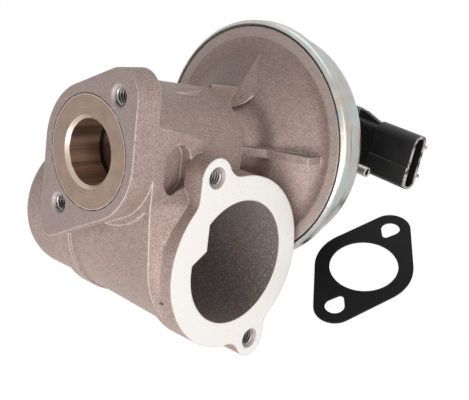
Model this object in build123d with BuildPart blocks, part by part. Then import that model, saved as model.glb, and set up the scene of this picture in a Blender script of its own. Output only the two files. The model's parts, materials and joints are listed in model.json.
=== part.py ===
"""Vacuum-operated exhaust gas recirculation (EGR) valve with its inlet gasket.

The valve is drawn in its own frame: Z runs up the stem from the diaphragm to the gas inlet, X points
out of the big outlet, and the origin is the centre of the casting's rim face. At the end everything is
laid on the bench on the three edges that carry it, with the gasket flat beside it. Sizes are in mm.
"""

import os
from math import cos, radians, sin, sqrt, tan

from build123d import *

os.makedirs("parts", exist_ok=True)

# --- driving dimensions -----------------------------------------------------------------------------
# diaphragm half of the casting
rim_radius = 51.5
rim_thickness = 4.0
rim_chamfer = 1.5
rim_face_width = 4.7
rim_groove_width = 3.8
rim_groove_depth = 0.8
bell_depth = 13.5
bell_shoulder_width = 10.0
bell_shoulder_drop = 2.2
bell_blend_radius = 7.5
bell_roof = 4.5
bell_room_inset = 12.1
bell_room_roof_width = 8.0
hub_radius = 15.0
spigot_radius = 9.0
spigot_length = 4.0
side_rib_thickness = 3.5
side_rib_reach = 26.7
side_rib_end_z = 8.4
side_rib_knee = 9.6
side_rib_top_drop = 8.0
side_rib_blend_radius = 3.0
web_turn = 84.5
web_thickness = 2.0
web_end_z = 16.0
web_rise = 1.8

# leaf that runs out from the web over the bell: distance out, shift, half width, height
leaf_sections = [(16.5, 2.4, 1.2, 0.4), (22.5, 3.6, 3.6, 1.8), (30.0, 3.2, 3.2, 1.4), (38.3, 2.2, 1.0, 0.4)]
leaf_root_depth = 2.0

# neck that carries the gas from the inlet to the duct
neck_rear_z = 30.0
neck_rear_radius = 24.0
neck_draft = 6.0
neck_foot_y = -14.0
cheek_half_width = 25.4
pocket_length = 20.0
pocket_width = 13.0
pocket_depth = 5.0
pocket_centre = (-3.0, 66.5)
pad_length = 17.0
pad_width = 4.4
pad_height = 0.8
pad_turn = 67.0
pad_z = 52.5
port_radius = 16.5
port_floor = 4.0

# inlet flange and its steel seat insert
inlet_face_z = 89.3
inlet_flange_thickness = 11.0
inlet_flange_radius = 26.0
inlet_lobe_radius = 10.3
inlet_corner_radius = 5.5
inlet_corner = (-20.8, -33.2)
inlet_bolt = (15.3, 23.7)
inlet_thread_depth = 9.5
seat_flange_radius = 21.7
seat_flange_thickness = 4.0
seat_sleeve_radius = 17.0
seat_bore_radius = 12.7
seat_length = 18.0
seat_entry_chamfer = 1.3
seat_cone = 1.5

# duct and outlet flange
duct_y = -40.8
duct_z = 37.2
duct_radius = 31.6
duct_end_x = -70.5
duct_end_radius = 7.5
chamber_radius = 25.8
chamber_end_wall = 8.0
chamber_lip = [(18.5, 22.0), (18.5, 7.4), (26.5, 2.0), (40.0, 2.0), (40.0, 22.0)]
outlet_face_x = 35.1
outlet_flange_radius = 36.0
outlet_flange_thickness = 5.6
outlet_bolt_circle_radius = 39.6
outlet_bolt_angle = 66.6
outlet_bolt_shift = 1.6
outlet_ear_radius = 7.8
outlet_ear_length = 14.0
outlet_ear_fillet = 8.0
outlet_ear_start = 14.0
outlet_thread_depth = 11.5
saddle_left_x = -28.0
collar_x = 25.4
# saddle sections: lower circle's shift and radius, then the upper circle's
saddle_left = [(1.4, 3.0, 34.2), (28.8, 13.8, 6.0)]
saddle_right = [(5.3, 3.0, 34.0), (35.1, 20.8, 6.0)]
collar = [(2.0, 1.2, 33.5), (22.5, 20.0, 6.5)]
band_width = 7.0
band_height = 1.2

# threads M8: core radius and countersink
thread_core_radius = 3.4
countersink_radius = 4.4

# stem and its guide
stem_radius = 3.0
stem_tail_radius = 2.5
stem_tail_end_z = -9.0
guide_outer_radius = 6.0
guide_end_z = 38.0
seal_thickness = 1.8
seal_cup_wall = 0.8
seal_gap = 0.3
poppet_radius = 15.0
poppet_rim = 1.0
poppet_tulip_height = 9.5
running_gap = 0.03
seat_gap = 0.05

# diaphragm pack
diaphragm_thickness = 1.2
diaphragm_disc_z = -2.6
diaphragm_roll_inset = 14.7
diaphragm_fold_depth = 5.6
diaphragm_fold_half_width = 2.6
diaphragm_fold_slope = 0.6
diaphragm_bend_radius = 1.5
plate_thickness = 1.2
lower_plate_inset = 7.8
spring_cup_inset = 5.8
spring_cup_height = 4.2
nut_across_flats = 8.0
nut_height = 3.0

# pressed steel cover
sheet = 1.3
crimp_play = 0.2
crimp_gap = 0.05
crimp_lip = 1.9
drum_inset = 3.0
drum_back_z = -21.0
drum_corner_radius = 3.0
crimp_bend_radius = 1.2
return_spring_wire = 2.0
return_spring_turns = 2.5
return_spring_play = 0.3
spring_seat_gap = 0.05

# vacuum nipple, turned about the stem axis like the sensor
nipple_radius = 2.25
nipple_bore_radius = 1.4
nipple_inset = 10.5
nipple_length = 9.5
nipple_height = 7.0
nipple_bend_radius = 4.5

# position sensor on the back of the cover
sensor_turn = -7.0
sensor_length = 52.0
sensor_width = 38.0
sensor_shift = 2.0
sensor_foot_length = 34.0
sensor_foot_width = 48.0
sensor_foot_place = (-9.0, -14.0)
sensor_corner_radius = 7.0
sensor_height = 32.0
sensor_base_height = 4.0
sensor_base_step = 1.0
sensor_lid_thickness = 3.0
sensor_lid_rounding = 1.0
sensor_spigot_radius = 8.7
sensor_spigot_length = 3.4
sensor_floor = 7.0
sensor_room_length = 34.0
sensor_room_width = 30.0
sensor_lugs = [(0.0, 25.5), (17.0, -21.5)]
sensor_lug_radius = 5.5
cover_hole_play = 0.3
o_ring_radius = 10.6
o_ring_wire = 1.2
screw_radius = 2.0
screw_head_radius = 3.8
screw_head_height = 2.6

# connector shroud on the sensor
connector_reach = 58.0
connector_shoulder = 21.0
connector_side = 6.65
connector_drop = 26.6
connector_width = 25.0
connector_thickness = 9.4
connector_wall = 1.25
connector_depth = 17.0
connector_corner_radius = 4.0
connector_step = 0.8
connector_neck_inset = 1.8
connector_key_spacing = 13.5
connector_key_height = 2.4
terminal_count = 5
terminal_pitch = 3.6
terminal_size = 0.8
terminal_free_length = 7.0

# sensor plunger and what reads it
plunger_radius = 2.5
plunger_gap = 0.2
plunger_collar_radius = 5.0
plunger_collar_height = 2.0
plunger_length = 27.0
plunger_spring_wire = 0.8
plunger_spring_radius = 3.6
plunger_spring_turns = 6.0
board_thickness = 1.0
board_width = 16.0
wiper_thickness = 0.6
wiper_width = 5.0
wiper_gap = 0.3

# gasket on the bench
gasket_thickness = 1.0
gasket_hole_radius = 16.0
gasket_radius = 22.9
gasket_lobe_radius = 9.6
gasket_slot_radius = 4.5
gasket_slot_tip_radius = 1.6
gasket_slot_tip_offset = 5.4
gasket_place = (68.0, -19.2)
gasket_turn = 97.3

# --- places worked out from them --------------------------------------------------------------------
rim_bottom_z = -rim_thickness
rim_face_radius = rim_radius - rim_chamfer
bell_groove_radius = rim_face_radius - rim_face_width - rim_groove_width
bell_shoulder_radius = hub_radius + bell_shoulder_width
bell_shoulder_z = bell_depth - bell_shoulder_drop
bell_slope = (bell_shoulder_z + rim_groove_depth) / (bell_groove_radius - bell_shoulder_radius)
bell_room_z = bell_depth - bell_roof
spigot_end_z = bell_room_z - spigot_length
drum_radius = rim_radius - drum_inset
diaphragm_roll_radius = rim_radius - diaphragm_roll_inset
lower_plate_radius = diaphragm_roll_radius - lower_plate_inset
spring_cup_radius = diaphragm_roll_radius - spring_cup_inset
nipple_root = drum_radius - nipple_inset
nipple_reach = nipple_root + nipple_length
inlet_back_z = inlet_face_z - inlet_flange_thickness
neck_length = inlet_back_z - neck_rear_z
port_floor_z = neck_rear_z + port_floor
seat_end_z = inlet_face_z - seat_length
guide_start_z = spigot_end_z + seal_thickness
bolt_reach = sqrt(inlet_bolt[0] ** 2 + inlet_bolt[1] ** 2)
half_diaphragm = diaphragm_thickness / 2
clamp_z = rim_bottom_z - half_diaphragm
lower_plate_z = diaphragm_disc_z + half_diaphragm
upper_plate_z = diaphragm_disc_z - half_diaphragm
stem_shoulder_z = lower_plate_z + plate_thickness
nut_z = upper_plate_z - plate_thickness
crimp_radius = rim_radius + crimp_play + sheet / 2
crimp_corner_z = rim_face_radius + sqrt(2) * (crimp_gap + sheet / 2) - crimp_radius
shelf_z = rim_bottom_z - diaphragm_thickness - sheet / 2
drum_wall_radius = drum_radius - sheet / 2
drum_floor_z = drum_back_z + sheet / 2
cover_hole_radius = sensor_spigot_radius + cover_hole_play
plunger_start_z = stem_tail_end_z - plunger_gap

saddle_sections = [
    (saddle_left_x, saddle_left),
    (collar_x, saddle_right),
    (outlet_face_x - outlet_flange_thickness, collar),
]

outlet_plane = Plane(origin=(outlet_face_x, duct_y, duct_z), x_dir=(0, 0, 1), z_dir=(-1, 0, 0))
outlet_front = Plane(
    origin=outlet_plane.origin, x_dir=outlet_plane.x_dir, z_dir=outlet_plane.z_dir * -1
)
outlet_bolts = [
    (
        outlet_bolt_shift + side * outlet_bolt_circle_radius * cos(radians(outlet_bolt_angle)),
        side * outlet_bolt_circle_radius * sin(radians(outlet_bolt_angle)),
    )
    for side in (1, -1)
]
inlet_bolts = [inlet_bolt, (-inlet_bolt[0], -inlet_bolt[1])]
sensor_x = Vector(cos(radians(sensor_turn)), sin(radians(sensor_turn)), 0)
sensor_y = Vector(0, 0, 1).cross(sensor_x)
sensor_plane = Plane(origin=(0, 0, drum_back_z), x_dir=sensor_x, z_dir=(0, 0, 1))
nipple_plane = Plane(origin=(0, 0, 0), x_dir=sensor_x, z_dir=sensor_y * -1)
connector_origin = sensor_x * connector_reach + sensor_y * connector_side
connector_plane = Plane(
    origin=connector_origin + Vector(0, 0, drum_back_z - connector_drop),
    x_dir=sensor_y,
    z_dir=sensor_x,
)
terminal_places = [
    ((number - (terminal_count - 1) / 2) * terminal_pitch, 0) for number in range(terminal_count)
]
pieces = {}


def keep(builder, name):
    """Name a finished piece and store it for laying down on the bench."""
    builder.part.label = name
    pieces[name] = builder.part


# --- outlet flange of the casting: a disc and two ears in one outline, deeper behind the threads -------
with BuildPart() as outlet_flange:
    with BuildSketch(outlet_plane):
        Circle(outlet_flange_radius)
        for bolt in outlet_bolts:
            with Locations(bolt):
                Circle(outlet_ear_radius)
            with Locations((bolt[0], bolt[1] / 2)):
                Rectangle(2 * outlet_ear_radius, abs(bolt[1]))
    extrude(amount=outlet_ear_length)
    ear_roots = outlet_flange.edges().filter_by(Axis.X).sort_by_distance(outlet_plane.origin)[:4]
    fillet(ear_roots, outlet_ear_fillet)
    with BuildSketch(outlet_plane.offset(outlet_flange_thickness)):
        Rectangle(3 * outlet_flange_radius, 2 * outlet_ear_start)
    extrude(amount=outlet_ear_length - outlet_flange_thickness, mode=Mode.SUBTRACT)

# --- valve body: one aluminium casting --------------------------------------------------------------
with BuildPart() as valve_body:
    # neck: a round back over straight cheeks that run down into the duct
    with BuildSketch(Plane.XY.offset(neck_rear_z)):
        Circle(neck_rear_radius)
        with Locations((0, neck_foot_y / 2)):
            Rectangle(2 * neck_rear_radius, -neck_foot_y)
    extrude(amount=neck_length, taper=-neck_draft)
    with BuildSketch(Plane.XY.offset(neck_rear_z)):
        with Locations((0, duct_y / 2)):
            Rectangle(2 * cheek_half_width, 3 * rim_radius)
    extrude(amount=neck_length, mode=Mode.INTERSECT)

    # bell over the diaphragm, with the hub that holds the stem guide
    with BuildSketch(Plane.XZ):
        with BuildLine():
            Polyline(
                (0, neck_rear_z),
                (0, rim_bottom_z),
                (rim_radius, rim_bottom_z),
                (rim_radius, -rim_chamfer),
                (rim_face_radius, 0),
                (rim_face_radius - rim_face_width, 0),
            )
            FilletPolyline(
                (rim_face_radius - rim_face_width, 0),
                (bell_groove_radius, -rim_groove_depth),
                (bell_shoulder_radius, bell_shoulder_z),
                (hub_radius, bell_depth),
                (hub_radius, neck_rear_z),
                radius=bell_blend_radius,
            )
            Line((hub_radius, neck_rear_z), (0, neck_rear_z))
        make_face()
    revolve(axis=Axis.Z)

    # duct with its closed, rounded end
    with BuildSketch(outlet_plane):
        Circle(duct_radius)
    extrude(amount=outlet_face_x - duct_end_x)
    fillet(valve_body.edges().group_by(Axis.X)[0], duct_end_radius)

    # saddle: the duct swells up to the inlet flange and runs down to the outlet flange
    for place_x, circles in saddle_sections:
        with BuildSketch(outlet_plane.offset(outlet_face_x - place_x)):
            for shift_z, shift_y, radius in circles:
                with Locations((shift_z, shift_y)):
                    Circle(radius)
            make_hull()
    loft(ruled=True)
    with BuildSketch(outlet_plane.offset(outlet_face_x - saddle_left_x)):
        with Locations(saddle_left[0][:2]):
            Circle(saddle_left[0][2] + band_height)
    extrude(amount=band_width)

    # inlet flange: a two-bolt oval with one square corner
    with BuildSketch(Plane.XY.offset(inlet_back_z)):
        Circle(inlet_flange_radius)
        with Locations(inlet_bolt):
            Circle(inlet_lobe_radius)
        with Locations(inlet_corner):
            Circle(inlet_corner_radius)
        make_hull()
    extrude(amount=inlet_flange_thickness)

    # outlet flange
    add(outlet_flange.part)

    # leaf-shaped pad on top of the neck and a shallow pocket in its cheek
    pad_out = Vector(cos(radians(pad_turn)), sin(radians(pad_turn)), 0)
    pad_radius = neck_rear_radius + (pad_z - neck_rear_z) * tan(radians(neck_draft))
    pad_plane = Plane(origin=pad_out * pad_radius + Vector(0, 0, pad_z), x_dir=(0, 0, 1), z_dir=pad_out)
    with BuildSketch(pad_plane):
        Ellipse(pad_length / 2, pad_width / 2)
    extrude(amount=pad_height, both=True)
    with BuildSketch(Plane(origin=(cheek_half_width, *pocket_centre), x_dir=(0, 1, 0), z_dir=(1, 0, 0))):
        SlotOverall(pocket_length, pocket_width)
    extrude(amount=-pocket_depth, mode=Mode.SUBTRACT)

    # ribs that stiffen the bell on both sides, and a thin web with a low leaf on top
    for turn in (0, 180):
        outward = cos(radians(turn))
        rib_plane = Plane(origin=(0, 0, 0), x_dir=(outward, 0, 0), z_dir=(0, -outward, 0))
        with BuildSketch(rib_plane):
            with BuildLine():
                FilletPolyline(
                    (hub_radius - 1, neck_rear_z),
                    (hub_radius + 2, neck_rear_z - side_rib_top_drop),
                    (hub_radius + side_rib_knee, bell_depth + 1),
                    (hub_radius + side_rib_reach, side_rib_end_z),
                    radius=side_rib_blend_radius,
                )
                Polyline(
                    (hub_radius + side_rib_reach, side_rib_end_z),
                    (hub_radius + side_rib_reach, -1),
                    (hub_radius - 1, bell_room_z + 1),
                    (hub_radius - 1, neck_rear_z),
                )
            make_face()
        extrude(amount=side_rib_thickness / 2, both=True)
    web_out = Vector(cos(radians(web_turn)), sin(radians(web_turn)), 0)
    with BuildSketch(Plane(origin=(0, 0, 0), x_dir=web_out, z_dir=web_out.cross(Vector(0, 0, 1)))):
        with BuildLine():
            Polyline(
                (hub_radius - 1, neck_rear_z),
                (neck_rear_radius + web_rise, neck_rear_z),
                (neck_rear_radius + web_rise / 2, web_end_z),
                (neck_rear_radius, bell_shoulder_z - 1),
                (hub_radius - 1, bell_room_z + 1),
                close=True,
            )
        make_face()
    extrude(amount=web_thickness / 2, both=True)
    for out, shift, half_width, height in leaf_sections:
        base_z = bell_shoulder_z - (out - bell_shoulder_radius) * bell_slope
        with BuildSketch(Plane(origin=(shift, out, base_z), x_dir=(1, 0, 0), z_dir=(0, -1, 0))):
            with BuildLine():
                Polyline(
                    (-2 * half_width, -leaf_root_depth),
                    (2 * half_width, -leaf_root_depth),
                    (0, height),
                    close=True,
                )
            make_face()
    loft()

    # gas port, the way down to the duct, and the duct's chamber
    with BuildSketch(Plane.XY.offset(port_floor_z)):
        Circle(port_radius)
    extrude(amount=inlet_face_z - port_floor_z, mode=Mode.SUBTRACT)
    with BuildSketch(outlet_plane):
        Circle(chamber_radius)
        with BuildLine():
            Polyline(*chamber_lip, close=True)
        make_face(mode=Mode.SUBTRACT)
    extrude(amount=outlet_face_x - duct_end_x - chamber_end_wall, mode=Mode.SUBTRACT)

    # seat insert's stepped bore
    with BuildSketch(Plane.XY.offset(inlet_face_z)):
        Circle(seat_flange_radius)
    extrude(amount=-seat_flange_thickness, mode=Mode.SUBTRACT)
    with BuildSketch(Plane.XY.offset(inlet_face_z)):
        Circle(seat_sleeve_radius)
    extrude(amount=-seat_length, mode=Mode.SUBTRACT)

    # room under the bell, around the seal spigot
    with BuildSketch(Plane.XZ):
        with BuildLine():
            Polyline(
                (spigot_radius, rim_bottom_z),
                (rim_radius - bell_room_inset, rim_bottom_z),
                (hub_radius + bell_room_roof_width, bell_room_z),
                (spigot_radius, bell_room_z),
                close=True,
            )
        make_face()
    revolve(axis=Axis.Z, mode=Mode.SUBTRACT)
    with BuildSketch(Plane.XY.offset(spigot_end_z)):
        Circle(spigot_radius + 1)
    extrude(amount=rim_bottom_z - spigot_end_z, mode=Mode.SUBTRACT)
    with BuildSketch(Plane.XY.offset(spigot_end_z)):
        Circle(guide_outer_radius)
    extrude(amount=port_floor_z - spigot_end_z, mode=Mode.SUBTRACT)

    # threaded holes, opened at the face by a countersink
    with Locations(Plane.XY.offset(inlet_face_z)):
        with Locations(inlet_bolts):
            CounterSinkHole(thread_core_radius, countersink_radius, depth=inlet_thread_depth)
    with Locations(outlet_front):
        with Locations([(bolt[0], -bolt[1]) for bolt in outlet_bolts]):
            CounterSinkHole(thread_core_radius, countersink_radius, depth=outlet_thread_depth)

keep(valve_body, "valve_body")

# --- seat insert: hardened steel ring with a sleeve, pressed in flush ----------------------------------
with BuildPart() as seat_ring:
    with BuildSketch(Plane.XZ):
        with BuildLine():
            Polyline(
                (seat_bore_radius + seat_entry_chamfer, inlet_face_z),
                (seat_flange_radius, inlet_face_z),
                (seat_flange_radius, inlet_face_z - seat_flange_thickness),
                (seat_sleeve_radius, inlet_face_z - seat_flange_thickness),
                (seat_sleeve_radius, seat_end_z),
                (seat_bore_radius + seat_cone, seat_end_z),
                (seat_bore_radius, seat_end_z + seat_cone),
                (seat_bore_radius, inlet_face_z - seat_entry_chamfer),
                close=True,
            )
        make_face()
    revolve(axis=Axis.Z)
keep(seat_ring, "seat_ring")

# --- stem guide: plain bronze bush ---------------------------------------------------------------------
with BuildPart() as stem_guide:
    with BuildSketch(Plane.XY.offset(guide_start_z)):
        Circle(guide_outer_radius)
        Circle(stem_radius + running_gap, mode=Mode.SUBTRACT)
    extrude(amount=guide_end_z - guide_start_z)
    chamfer(stem_guide.edges().group_by(Axis.Z)[-1].filter_by(GeomType.CIRCLE), 0.5)
keep(stem_guide, "stem_guide")

# --- stem seal: rubber ring under the guide ------------------------------------------------------------
with BuildPart() as stem_seal:
    with BuildSketch(Plane.XY.offset(spigot_end_z)):
        Circle(guide_outer_radius)
        Circle(stem_radius + running_gap, mode=Mode.SUBTRACT)
    extrude(amount=seal_thickness)
keep(stem_seal, "stem_seal")

# --- seal cup: steel cap pressed over the spigot, which holds the seal up ------------------------------
with BuildPart() as seal_cup:
    with BuildSketch(Plane.XY.offset(spigot_end_z - seal_cup_wall)):
        Circle(spigot_radius + seal_cup_wall)
        Circle(stem_radius + seal_gap, mode=Mode.SUBTRACT)
    extrude(amount=seal_cup_wall)
    with BuildSketch(Plane.XY.offset(spigot_end_z)):
        Circle(spigot_radius + seal_cup_wall)
        Circle(spigot_radius, mode=Mode.SUBTRACT)
    extrude(amount=(bell_room_z - spigot_end_z) * 0.75)
    fillet(seal_cup.edges().group_by(Axis.Z)[0].sort_by(SortBy.RADIUS)[-1], 0.6)
keep(seal_cup, "seal_cup")

# --- valve stem: shouldered rod, thin where it carries the diaphragm pack ------------------------------
poppet_face_z = seat_end_z + seat_cone - 0.3
with BuildPart() as valve_stem:
    with BuildSketch(Plane.XY.offset(stem_shoulder_z)):
        Circle(stem_radius)
    extrude(amount=poppet_face_z - stem_shoulder_z)
    with BuildSketch(Plane.XY.offset(stem_tail_end_z)):
        Circle(stem_tail_radius)
    extrude(amount=stem_shoulder_z - stem_tail_end_z)
    chamfer(valve_stem.edges().group_by(Axis.Z)[0], 0.4)
keep(valve_stem, "valve_stem")

# --- poppet: tulip-shaped head whose cone closes the seat from below -----------------------------------
with BuildPart() as poppet:
    face_radius = seat_bore_radius + 0.3 - sqrt(2) * seat_gap
    cone_end_z = poppet_face_z - (poppet_radius - face_radius)
    with BuildSketch(Plane.XZ):
        with BuildLine():
            Polyline(
                (stem_radius, poppet_face_z - poppet_tulip_height),
                (stem_radius, poppet_face_z),
                (face_radius, poppet_face_z),
                (poppet_radius, cone_end_z),
                (poppet_radius, cone_end_z - poppet_rim),
            )
            RadiusArc(
                (poppet_radius, cone_end_z - poppet_rim),
                (stem_radius, poppet_face_z - poppet_tulip_height),
                -2 * poppet_radius,
            )
        make_face()
    revolve(axis=Axis.Z)
keep(poppet, "poppet")

# --- lower plate: flat disc over the diaphragm ---------------------------------------------------------
with BuildPart() as lower_plate:
    with BuildSketch(Plane.XY.offset(lower_plate_z)):
        Circle(lower_plate_radius)
        Circle(stem_tail_radius, mode=Mode.SUBTRACT)
    extrude(amount=plate_thickness)
    fillet(lower_plate.edges().group_by(Axis.Z)[-1].sort_by(SortBy.RADIUS)[-1], 0.5)
keep(lower_plate, "lower_plate")

# --- diaphragm: moulded rubber with one rolling fold ---------------------------------------------------
with BuildPart() as diaphragm:
    fold_in = diaphragm_roll_radius - diaphragm_fold_half_width
    fold_out = diaphragm_roll_radius + diaphragm_fold_half_width
    fold_z = diaphragm_disc_z - half_diaphragm - diaphragm_fold_depth
    with BuildSketch(Plane.XZ):
        with BuildLine():
            FilletPolyline(
                (rim_radius - crimp_bend_radius / 2, clamp_z),
                (fold_out + 2 * diaphragm_fold_slope, clamp_z),
                (fold_out - diaphragm_fold_slope, fold_z),
                (fold_in + diaphragm_fold_slope, fold_z),
                (fold_in - diaphragm_fold_slope, diaphragm_disc_z),
                (stem_tail_radius, diaphragm_disc_z),
                radius=diaphragm_bend_radius,
            )
        trace(line_width=diaphragm_thickness)
    revolve(axis=Axis.Z)
keep(diaphragm, "diaphragm")

# --- spring cup: pressed plate with a turned rim that centres the spring -------------------------------
with BuildPart() as spring_cup:
    cup_z = upper_plate_z - plate_thickness / 2
    with BuildSketch(Plane.XZ):
        with BuildLine():
            FilletPolyline(
                (stem_tail_radius, cup_z),
                (spring_cup_radius - plate_thickness / 2, cup_z),
                (spring_cup_radius - plate_thickness / 2, cup_z - spring_cup_height),
                radius=1.2,
            )
        trace(line_width=plate_thickness)
    revolve(axis=Axis.Z)
keep(spring_cup, "spring_cup")

# --- stem nut: clamps the pack against the stem's shoulder ---------------------------------------------
with BuildPart() as stem_nut:
    with BuildSketch(Plane.XY.offset(nut_z - nut_height)):
        RegularPolygon(nut_across_flats / 2, 6, major_radius=False)
        Circle(stem_tail_radius, mode=Mode.SUBTRACT)
    extrude(amount=nut_height)
keep(stem_nut, "stem_nut")

# --- return spring: wide coil between the cup and the cover -----------------------------------------
with BuildPart() as return_spring:
    wire_radius = return_spring_wire / 2
    spring_low_z = drum_floor_z + sheet / 2 + wire_radius + spring_seat_gap
    spring_height = nut_z - wire_radius - spring_seat_gap - spring_low_z
    with BuildLine():
        coil = Helix(
            pitch=spring_height / return_spring_turns,
            height=spring_height,
            radius=spring_cup_radius - plate_thickness - return_spring_play - wire_radius,
            center=(0, 0, spring_low_z),
        )
    with BuildSketch(Plane(origin=coil @ 0, z_dir=coil % 0)):
        Circle(wire_radius)
    sweep(path=coil, is_frenet=True)
keep(return_spring, "return_spring")

# --- cover: zinc-plated steel drum, folded over the casting's rim --------------------------------------
with BuildPart() as cover:
    with BuildSketch(Plane.XZ):
        with BuildLine():
            FilletPolyline(
                (crimp_radius - crimp_lip / sqrt(2), crimp_corner_z + crimp_lip / sqrt(2)),
                (crimp_radius, crimp_corner_z),
                (crimp_radius, shelf_z),
                (drum_wall_radius, shelf_z),
                (drum_wall_radius, (shelf_z + drum_floor_z) / 2),
                radius=crimp_bend_radius,
            )
            FilletPolyline(
                (drum_wall_radius, (shelf_z + drum_floor_z) / 2),
                (drum_wall_radius, drum_floor_z),
                (cover_hole_radius, drum_floor_z),
                radius=drum_corner_radius,
            )
        trace(line_width=sheet)
    revolve(axis=Axis.Z)
    with BuildSketch(sensor_plane):
        with Locations((nipple_root, 0)):
            Circle(nipple_radius)
        with Locations(sensor_lugs):
            Circle(screw_radius)
    extrude(amount=2 * sheet, mode=Mode.SUBTRACT)
keep(cover, "cover")

# --- vacuum nipple: bent steel tube brazed into the cover ----------------------------------------------
with BuildPart() as nipple:
    with BuildLine(nipple_plane) as nipple_path:
        FilletPolyline(
            (nipple_root, drum_back_z + sheet),
            (nipple_root, drum_back_z - nipple_height),
            (nipple_reach, drum_back_z - nipple_height),
            radius=nipple_bend_radius,
        )
    with BuildSketch(Plane(origin=nipple_path.line @ 0, z_dir=nipple_path.line % 0)):
        Circle(nipple_radius)
        Circle(nipple_bore_radius, mode=Mode.SUBTRACT)
    sweep(path=nipple_path.line)
keep(nipple, "nipple")


def sensor_outline(inset):
    """Draw the sensor's outline: the box around the stem axis and the foot that reaches down from it."""
    corner = sensor_corner_radius - inset
    with Locations((0, sensor_shift)):
        RectangleRounded(sensor_length - 2 * inset, sensor_width - 2 * inset, corner)
    with Locations(sensor_foot_place):
        RectangleRounded(sensor_foot_length - 2 * inset, sensor_foot_width - 2 * inset, corner)


# --- sensor housing: moulded box on the cover, with the connector shroud at its side -------------------
with BuildPart() as sensor_housing:
    # stepped box, its two screw lugs and the spigot that enters the cover
    with BuildSketch(sensor_plane):
        sensor_outline(0)
        with Locations(sensor_lugs):
            Circle(sensor_lug_radius)
    extrude(amount=-sensor_base_height)
    with BuildSketch(sensor_plane):
        sensor_outline(sensor_base_step)
    extrude(amount=-sensor_height)
    with BuildSketch(sensor_plane):
        Circle(sensor_spigot_radius)
    extrude(amount=sensor_spigot_length)

    # shroud: a flat oval sleeve with a raised half, two key ribs and a narrower neck
    with BuildSketch(connector_plane):
        RectangleRounded(connector_width, connector_thickness, connector_corner_radius)
        with Locations((-connector_width / 4, connector_thickness / 2)):
            Rectangle(connector_width / 2 - connector_corner_radius, 2 * connector_step)
        with Locations(
            (-connector_key_spacing / 2, -connector_thickness / 2),
            (connector_key_spacing / 2, -connector_thickness / 2),
        ):
            Rectangle(connector_wall, 2 * connector_key_height)
    extrude(amount=-connector_shoulder)
    with BuildSketch(connector_plane):
        RectangleRounded(
            connector_width - 2 * connector_neck_inset,
            connector_thickness - connector_neck_inset,
            connector_corner_radius - connector_neck_inset,
        )
    extrude(amount=sensor_length / 2 - sensor_base_step - connector_wall - connector_reach)
    gusset_foot = connector_reach - connector_shoulder + connector_wall
    gusset_side = connector_side + connector_width / 2 - connector_neck_inset
    gusset_root = sensor_length / 2 - 2 * sensor_base_step
    with BuildSketch(sensor_plane.offset(-connector_drop)):
        with BuildLine():
            Polyline(
                (gusset_root, gusset_side - 1),
                (gusset_foot, gusset_side - 1),
                (gusset_foot, gusset_side),
                (gusset_root + 3, sensor_shift + sensor_width / 2),
                (gusset_root, sensor_shift + sensor_width / 2),
                close=True,
            )
        make_face()
    extrude(amount=connector_wall, both=True)

    # socket for the plug, room for the sensor, plunger bore, O-ring groove and screw holes
    with BuildSketch(connector_plane):
        RectangleRounded(
            connector_width - 2 * connector_wall,
            connector_thickness - 2 * connector_wall,
            connector_corner_radius - connector_wall,
        )
    extrude(amount=-connector_depth, mode=Mode.SUBTRACT)
    with BuildSketch(sensor_plane.offset(-sensor_floor)):
        with Locations((0, sensor_shift)):
            Rectangle(sensor_room_length, sensor_room_width)
    extrude(amount=sensor_floor - sensor_height, mode=Mode.SUBTRACT)
    with BuildSketch(sensor_plane.offset(sensor_spigot_length)):
        Circle(plunger_radius + running_gap)
    extrude(amount=-sensor_height, mode=Mode.SUBTRACT)
    with BuildSketch(sensor_plane):
        Circle(o_ring_radius + o_ring_wire + running_gap)
        Circle(o_ring_radius - o_ring_wire - running_gap, mode=Mode.SUBTRACT)
    extrude(amount=-2 * (o_ring_wire + running_gap), mode=Mode.SUBTRACT)
    with BuildSketch(sensor_plane):
        with Locations(sensor_lugs):
            Circle(screw_radius)
    extrude(amount=-sensor_base_height, mode=Mode.SUBTRACT)
    with BuildSketch(connector_plane):
        with Locations(terminal_places):
            Rectangle(terminal_size, terminal_size)
    extrude(amount=sensor_room_length / 2 - connector_reach, mode=Mode.SUBTRACT)
keep(sensor_housing, "sensor_housing")

# --- sensor lid: cap glued over the room, with a lip that centres it -----------------------------------
with BuildPart() as sensor_lid:
    with BuildSketch(sensor_plane.offset(-sensor_height)):
        sensor_outline(sensor_base_step)
    extrude(amount=-sensor_lid_thickness)
    fillet(sensor_lid.edges().group_by(Axis.Z)[0], sensor_lid_rounding)
    with BuildSketch(sensor_plane.offset(-sensor_height)):
        with Locations((0, sensor_shift)):
            Rectangle(sensor_room_length - 2 * wiper_gap, sensor_room_width - 2 * wiper_gap)
            Rectangle(
                sensor_room_length - 2 * wiper_gap - 2 * connector_wall,
                sensor_room_width - 2 * wiper_gap - 2 * connector_wall,
                mode=Mode.SUBTRACT,
            )
    extrude(amount=connector_wall)
keep(sensor_lid, "sensor_lid")

# --- sensor O-ring: seals the housing against the cover ------------------------------------------------
with BuildPart() as sensor_o_ring:
    with BuildSketch(Plane.XZ):
        with Locations((o_ring_radius, drum_back_z - o_ring_wire)):
            Circle(o_ring_wire)
    revolve(axis=Axis.Z)
keep(sensor_o_ring, "sensor_o_ring")

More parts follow.
